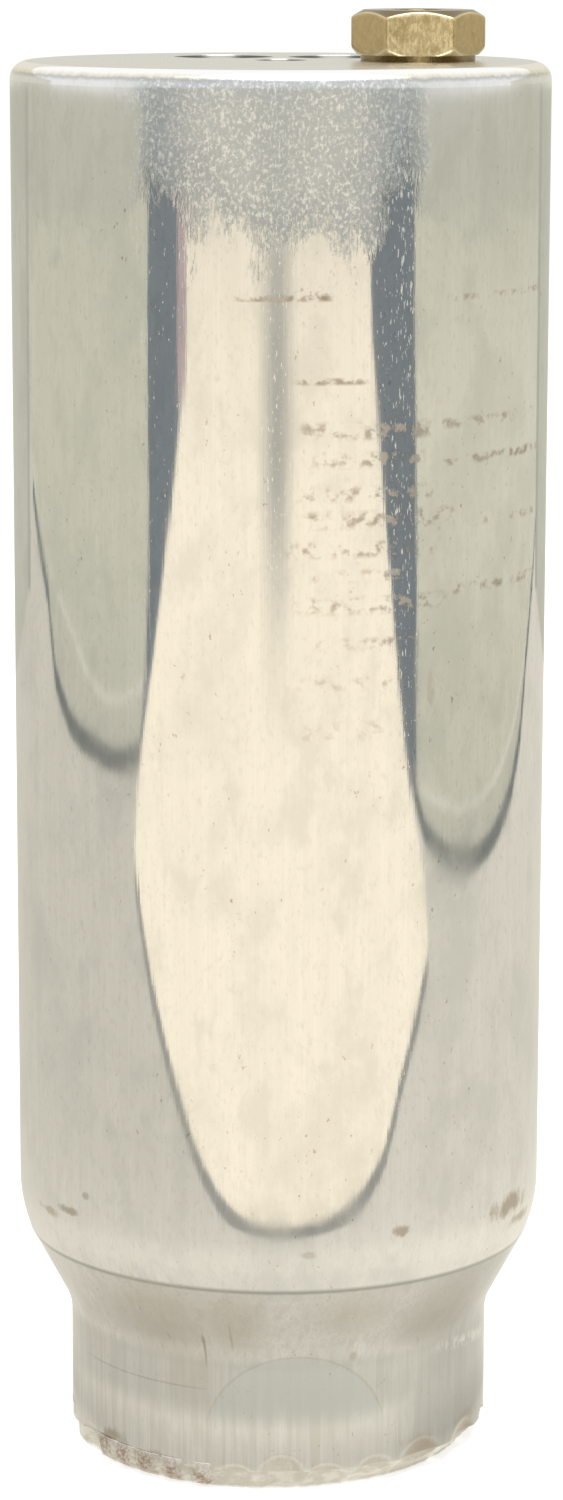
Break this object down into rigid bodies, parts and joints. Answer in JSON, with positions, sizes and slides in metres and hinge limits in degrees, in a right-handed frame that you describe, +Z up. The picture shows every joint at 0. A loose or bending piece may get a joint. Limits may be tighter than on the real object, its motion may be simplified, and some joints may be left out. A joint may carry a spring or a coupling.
{
  "type": "filter drier",
  "caption": "Cylindrical aluminium filter drier with a necked, welded lower end, flush pipe ports and a brass fusible hexagon plug on top.",
  "frame": {"origin": "centre of the can's base, on the surface it stands on", "axes": "+Z up along the can's axis, -Y to the pictured front, +X to the side with the brass plug"},
  "size_m": [0.06, 0.06, 0.1637],
  "materials": {
    "drawn_aluminium": "drawn, satin, with faint upright lines",
    "turned_aluminium": "turned, matt",
    "weld_metal": "rough weld bead, partly brown",
    "brass": "satin brass",
    "fusible_alloy": "dull cast low-melting alloy",
    "green_rubber": "smooth O-ring rubber",
    "tube_aluminium": "drawn tube",
    "moulded_plastic": "moulded natural plastic",
    "wire_cloth": "fine woven wire",
    "pressed_steel": "pressed perforated sheet",
    "felt": "pressed felt",
    "fibre_pad": "glass-fibre pad",
    "desiccant": "packed molecular-sieve beads",
    "spring_steel": "spring wire"
  },
  "bodies": {
    "root": {"can_body": "drawn_aluminium", "bottom_cap": "turned_aluminium", "closing_weld": "weld_metal", "fusible_plug": "brass", "fusible_alloy": "fusible_alloy", "plug_o_ring": "green_rubber", "pick_up_tube": "tube_aluminium", "strainer_cage": "moulded_plastic", "strainer_mesh": "wire_cloth", "lower_baffle": "pressed_steel", "upper_baffle": "pressed_steel", "lower_screen": "wire_cloth", "upper_screen": "wire_cloth", "fine_filter_felt": "felt", "lower_filter_pad": "fibre_pad", "upper_filter_pad": "fibre_pad", "desiccant_bed": "desiccant", "compression_spring": "spring_steel"}
  },
  "joints": []
}
